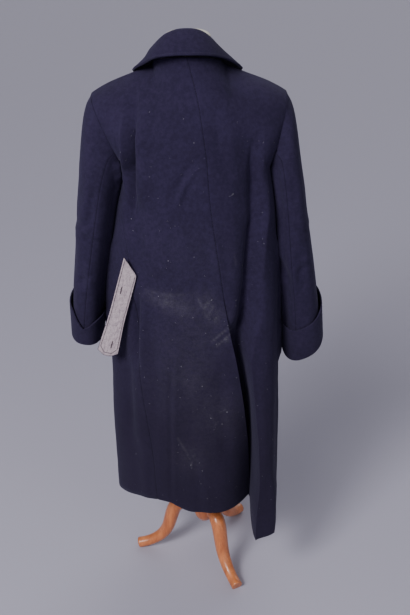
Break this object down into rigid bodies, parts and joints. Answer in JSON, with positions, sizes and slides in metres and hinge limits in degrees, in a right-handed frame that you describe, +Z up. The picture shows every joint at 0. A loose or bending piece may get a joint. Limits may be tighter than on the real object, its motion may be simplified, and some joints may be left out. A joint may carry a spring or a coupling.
{
  "type": "greatcoat on dress form",
  "caption": "Long dark wool greatcoat on a limbless dress form with a curved-leg wooden stand: back vent, turned-back cuffs, fold-over collar and a loose hanging half-belt.",
  "frame": {"origin": "middle of the object's box, at floor level under the stand's feet", "axes": "+Z up, the back of the coat faces -Y, +X towards the wearer's right"},
  "size_m": [0.6655, 0.3852, 1.513],
  "materials": {
    "navy_wool": "fulled wool with a short nap, dusty on the seat and skirt",
    "belt_lining": "matt woven lining",
    "button_horn": "satin horn",
    "form_cover": "plain cloth cover",
    "form_cap": "pale cloth cover",
    "varnished_wood": "glossy varnish"
  },
  "bodies": {
    "root": {"back_left": "navy_wool", "back_right": "navy_wool", "front_left": "navy_wool", "front_right": "navy_wool", "sleeve_left_upper": "navy_wool", "sleeve_left_under": "navy_wool", "sleeve_right_upper": "navy_wool", "sleeve_right_under": "navy_wool", "cuff_left": "navy_wool", "cuff_right": "navy_wool", "collar_stand": "navy_wool", "collar_fall": "navy_wool", "half_belt": "navy_wool", "half_belt_lining": "belt_lining", "front_button_1": "button_horn", "front_button_2": "button_horn", "front_button_3": "button_horn", "front_button_4": "button_horn", "front_button_5": "button_horn", "form_torso": "form_cover", "form_neck_cap": "form_cap", "stand_pole": "varnished_wood", "stand_hub": "varnished_wood", "stand_leg_1": "varnished_wood", "stand_leg_2": "varnished_wood", "stand_leg_3": "varnished_wood"}
  },
  "joints": []
}
